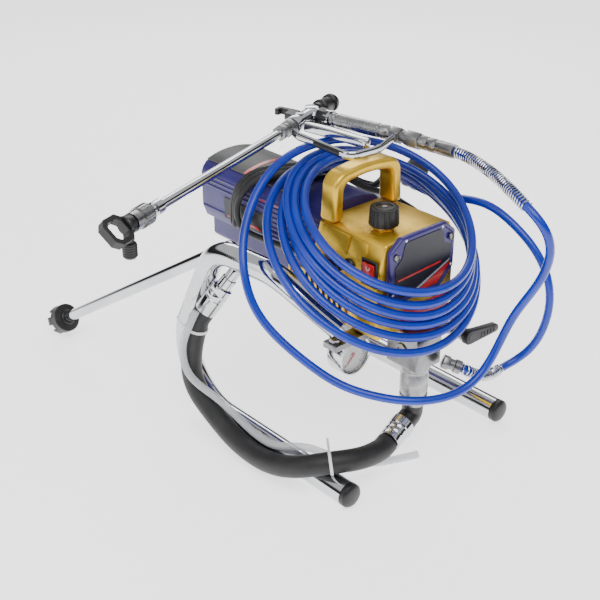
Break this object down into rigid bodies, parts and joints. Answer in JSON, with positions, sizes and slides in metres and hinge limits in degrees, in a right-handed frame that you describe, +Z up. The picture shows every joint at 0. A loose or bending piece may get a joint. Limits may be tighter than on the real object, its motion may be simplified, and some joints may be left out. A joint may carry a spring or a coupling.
{
  "type": "airless paint sprayer",
  "caption": "Airless paint sprayer on a bent tube stand: geared motor over a piston pump, coiled hose, spray gun with extension pole, suction hose and strainer.",
  "frame": {"origin": "on the floor, under the middle of the box around everything that is not a loose hose or cord", "axes": "+Y from the front cover towards the motor end, +X to the machine's right as seen from the front, +Z up"},
  "size_m": [0.5076, 0.6508, 0.3626],
  "materials": {
    "chrome": "polished chrome",
    "gold_cast": "satin gold casting",
    "indigo_plastic": "dark indigo moulding",
    "black_plastic": "satin black",
    "black_rubber": "matte black",
    "blue_hose": "gloss blue",
    "red_plastic": "gloss red",
    "machined_steel": "machined",
    "clear_plastic": "clear",
    "copper_winding": "wound copper",
    "circuit_board": "green board"
  },
  "bodies": {
    "frame": {"stand_leg_left": "chrome", "stand_leg_right": "chrome", "suction_pipe": "chrome", "gun_body": "chrome", "gun_grip": "chrome", "trigger_guard": "chrome", "extension_pole": "chrome", "end_cap_left": "black_plastic", "end_cap_right": "black_plastic", "motor_top_panel": "black_plastic", "switch_bezel": "black_plastic", "inlet_elbow": "black_plastic", "strainer": "black_plastic", "packing_nut": "black_plastic", "gun_hook": "black_plastic", "cord_gland": "black_plastic", "power_plug": "black_plastic", "mounting_bracket": "machined_steel", "cover_screw_1": "machined_steel", "cover_screw_2": "machined_steel", "pump_block": "machined_steel", "pump_cylinder": "machined_steel", "inlet_ferrule": "machined_steel", "outlet_fitting": "machined_steel", "prime_valve_body": "machined_steel", "gauge_case": "machined_steel", "gauge_stem": "machined_steel", "pipe_ferrule": "machined_steel", "pole_nut": "machined_steel", "tip_collar": "machined_steel", "spring_guard_gun": "machined_steel", "spring_guard_pump": "machined_steel", "gearbox_housing": "gold_cast", "carry_handle": "gold_cast", "vent_panel": "gold_cast", "front_cover": "indigo_plastic", "motor_cover": "indigo_plastic", "motor_stator": "copper_winding", "control_board": "circuit_board", "gauge_glass": "clear_plastic", "return_tube": "clear_plastic", "hose_coil": "blue_hose", "hose_pump_run": "blue_hose", "hose_gun_run": "blue_hose", "suction_hose": "black_rubber", "power_cord": "black_rubber", "power_hank": "black_rubber"},
    "rotor": {"motor_rotor": "machined_steel", "cooling_fan": "black_plastic"},
    "crank": {"crank_gear": "machined_steel"},
    "knob": {"pressure_knob": "black_plastic"},
    "rocker": {"power_switch": "red_plastic"},
    "prime_lever": {"prime_handle": "black_plastic"},
    "needle": {"gauge_needle": "red_plastic"},
    "trigger": {"gun_trigger": "chrome"},
    "guard": {"tip_guard": "black_plastic"},
    "tip": {"spray_tip": "black_plastic"},
    "swivel": {"hose_swivel": "machined_steel"},
    "piston": {"pump_piston": "machined_steel"}
  },
  "joints": [
    {"name": "motor_spin", "type": "hinge", "parent": "frame", "child": "rotor", "pos_m": [0.099, -0.12584, 0.228], "axis": [0, 1, 0], "continuous": true},
    {"name": "crank_turn", "type": "hinge", "parent": "frame", "child": "crank", "pos_m": [0.099, -0.12584, 0.2016], "axis": [0, 1, 0], "continuous": true},
    {"name": "knob_turn", "type": "hinge", "parent": "frame", "child": "knob", "pos_m": [0.079, -0.17685, 0.27535], "axis": [0, 0, 1], "range_deg": [0, 270]},
    {"name": "switch_rock", "type": "hinge", "parent": "frame", "child": "rocker", "pos_m": [0.03815, -0.19684, 0.243], "axis": [0, 1, 0], "range_deg": [-6, 6]},
    {"name": "prime_turn", "type": "hinge", "parent": "frame", "child": "prime_lever", "pos_m": [0.159, -0.23785, 0.14], "axis": [0, 1, 0], "range_deg": [0, 90]},
    {"name": "needle_sweep", "type": "hinge", "parent": "frame", "child": "needle", "pos_m": [0.059, -0.15585, 0.119], "axis": [0, 1, 0], "range_deg": [0, 270], "stiffness_Nm_per_rad": 0.0005},
    {"name": "trigger_pull", "type": "hinge", "parent": "frame", "child": "trigger", "pos_m": [0.113, -0.01584, 0.342], "axis": [0, 0, 1], "range_deg": [0, 14], "stiffness_Nm_per_rad": 0.6},
    {"name": "guard_turn", "type": "hinge", "parent": "frame", "child": "guard", "pos_m": [-0.19635, -0.11795, 0.342], "axis": [-0.936, -0.352, 0], "range_deg": [-45, 45]},
    {"name": "tip_reverse", "type": "hinge", "parent": "guard", "child": "tip", "pos_m": [-0.20028, -0.11943, 0.3322], "axis": [0, 0, 1], "range_deg": [0, 180]},
    {"name": "swivel_spin", "type": "hinge", "parent": "frame", "child": "swivel", "pos_m": [0.16609, -0.1017, 0.342], "axis": [0.0772, -0.997, 0], "continuous": true},
    {"name": "piston_stroke", "type": "slide", "parent": "frame", "child": "piston", "axis": [0, 0, 1], "range_m": [0, 0.02]}
  ],
  "couplings": [
    {"joint": "crank_turn", "follows": "motor_spin", "ratio": -0.33333}
  ]
}
